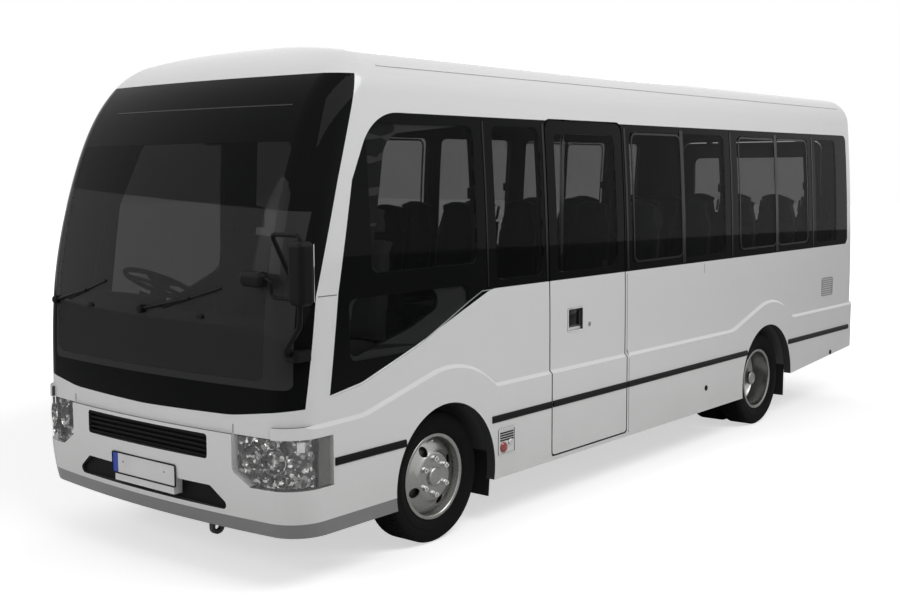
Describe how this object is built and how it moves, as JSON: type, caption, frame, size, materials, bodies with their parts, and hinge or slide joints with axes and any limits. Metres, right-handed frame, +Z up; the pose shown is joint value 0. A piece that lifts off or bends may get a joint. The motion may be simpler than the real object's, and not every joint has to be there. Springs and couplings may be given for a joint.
{
  "type": "minibus",
  "caption": "Long minibus with a big wraparound windscreen, dark side glass, an outward-gliding passenger door, a driver's door, a tailgate, steered front wheels and twin rear wheels.",
  "frame": {"origin": "on the ground, at the middle of the length and of the width", "axes": "+X to the vehicle's left, -Y forward along its length, +Z up"},
  "size_m": [2.37, 6.9897, 2.6599],
  "materials": {
    "body_white": "gloss paint",
    "tinted_glass": "dark tint",
    "lamp_clear": "clear",
    "lamp_red": "gloss",
    "trim_black": "satin",
    "tyre_rubber": "matte",
    "flap_rubber": "matte",
    "rim_silver": "satin silver",
    "chassis_black": "satin",
    "cast": "rough",
    "steel": "dull",
    "seat_fabric": "woven",
    "floor_covering": "matte",
    "dash_plastic": "grained",
    "plate_white": "matte"
  },
  "bodies": {
    "body": {"roof": "body_white", "windscreen_frame": "body_white", "front_panel": "body_white", "left_side": "body_white", "right_side": "body_white", "rear_end": "body_white", "front_bumper": "body_white", "rear_bumper": "body_white", "headlamps": "lamp_clear", "tail_lamps": "lamp_red", "windscreen": "tinted_glass", "left_windows": "tinted_glass", "right_windows": "tinted_glass", "left_seats": "seat_fabric", "right_seats": "seat_fabric", "rear_bench": "seat_fabric", "front_seats": "seat_fabric", "floor": "floor_covering", "wheel_housings": "floor_covering", "engine_cover": "floor_covering", "entrance_steps": "floor_covering", "dashboard": "dash_plastic", "chassis_frame": "chassis_black", "front_suspension": "chassis_black", "rear_axle": "cast", "leaf_springs": "steel", "engine": "cast", "propeller_shaft": "steel", "fuel_tank": "chassis_black", "exhaust": "steel", "mud_flaps": "flap_rubber", "number_plate": "plate_white", "mirrors": "trim_black", "wipers": "trim_black", "grille": "trim_black"},
    "left_knuckle": {"left_knuckle": "cast"},
    "right_knuckle": {"right_knuckle": "cast"},
    "front_left_wheel": {"front_left_tyre": "tyre_rubber", "front_left_rim": "rim_silver"},
    "front_right_wheel": {"front_right_tyre": "tyre_rubber", "front_right_rim": "rim_silver"},
    "rear_left_wheels": {"rear_left_tyres": "tyre_rubber", "rear_left_rims": "rim_silver"},
    "rear_right_wheels": {"rear_right_tyres": "tyre_rubber", "rear_right_rims": "rim_silver"},
    "steering_wheel": {"steering_wheel": "dash_plastic"},
    "driver_door": {"driver_door": "body_white", "driver_door_glass": "tinted_glass", "driver_mirror": "trim_black"},
    "passenger_door_arms": {"passenger_door_arms": "steel"},
    "passenger_door": {"passenger_door": "body_white", "passenger_door_glass": "tinted_glass"},
    "tailgate": {"tailgate": "body_white", "tailgate_glass": "tinted_glass"}
  },
  "joints": [
    {"name": "left_knuckle_steer", "type": "hinge", "parent": "body", "child": "left_knuckle", "pos_m": [0.7, -2.3, 0.36], "axis": [0, 0, 1], "range_deg": [-33, 33]},
    {"name": "right_knuckle_steer", "type": "hinge", "parent": "body", "child": "right_knuckle", "pos_m": [-0.7, -2.3, 0.36], "axis": [0, 0, 1], "range_deg": [-33, 33]},
    {"name": "steering_wheel_turn", "type": "hinge", "parent": "body", "child": "steering_wheel", "pos_m": [-0.485, -2.985, 1.37], "axis": [0, 0.4695, 0.8829], "range_deg": [-540, 540]},
    {"name": "front_left_wheel_spin", "type": "hinge", "parent": "left_knuckle", "child": "front_left_wheel", "pos_m": [0.853, -2.3, 0.36], "axis": [1, 0, 0], "continuous": true},
    {"name": "front_right_wheel_spin", "type": "hinge", "parent": "right_knuckle", "child": "front_right_wheel", "pos_m": [-0.853, -2.3, 0.36], "axis": [1, 0, 0], "continuous": true},
    {"name": "rear_left_wheels_spin", "type": "hinge", "parent": "body", "child": "rear_left_wheels", "pos_m": [0.864, 1.635, 0.36], "axis": [1, 0, 0], "continuous": true},
    {"name": "rear_right_wheels_spin", "type": "hinge", "parent": "body", "child": "rear_right_wheels", "pos_m": [-0.864, 1.635, 0.36], "axis": [1, 0, 0], "continuous": true},
    {"name": "driver_door_hinge", "type": "hinge", "parent": "body", "child": "driver_door", "pos_m": [-1.05, -3.101, 1.2], "axis": [0, 0, 1], "range_deg": [0, 68]},
    {"name": "passenger_door_arm_swing", "type": "hinge", "parent": "body", "child": "passenger_door_arms", "pos_m": [0.88, -0.505, 1], "axis": [0, 0, 1], "range_deg": [0, 150]},
    {"name": "passenger_door_pivot", "type": "hinge", "parent": "passenger_door_arms", "child": "passenger_door", "pos_m": [0.88, -0.955, 1], "axis": [0, 0, 1], "range_deg": [-150, 0]},
    {"name": "tailgate_hinge", "type": "hinge", "parent": "body", "child": "tailgate", "pos_m": [0, 3.484, 2.256], "axis": [1, 0, 0], "range_deg": [0, 85]}
  ],
  "couplings": [
    {"joint": "right_knuckle_steer", "follows": "left_knuckle_steer", "ratio": 1},
    {"joint": "steering_wheel_turn", "follows": "left_knuckle_steer", "ratio": 16.36},
    {"joint": "passenger_door_pivot", "follows": "passenger_door_arm_swing", "ratio": -1}
  ]
}
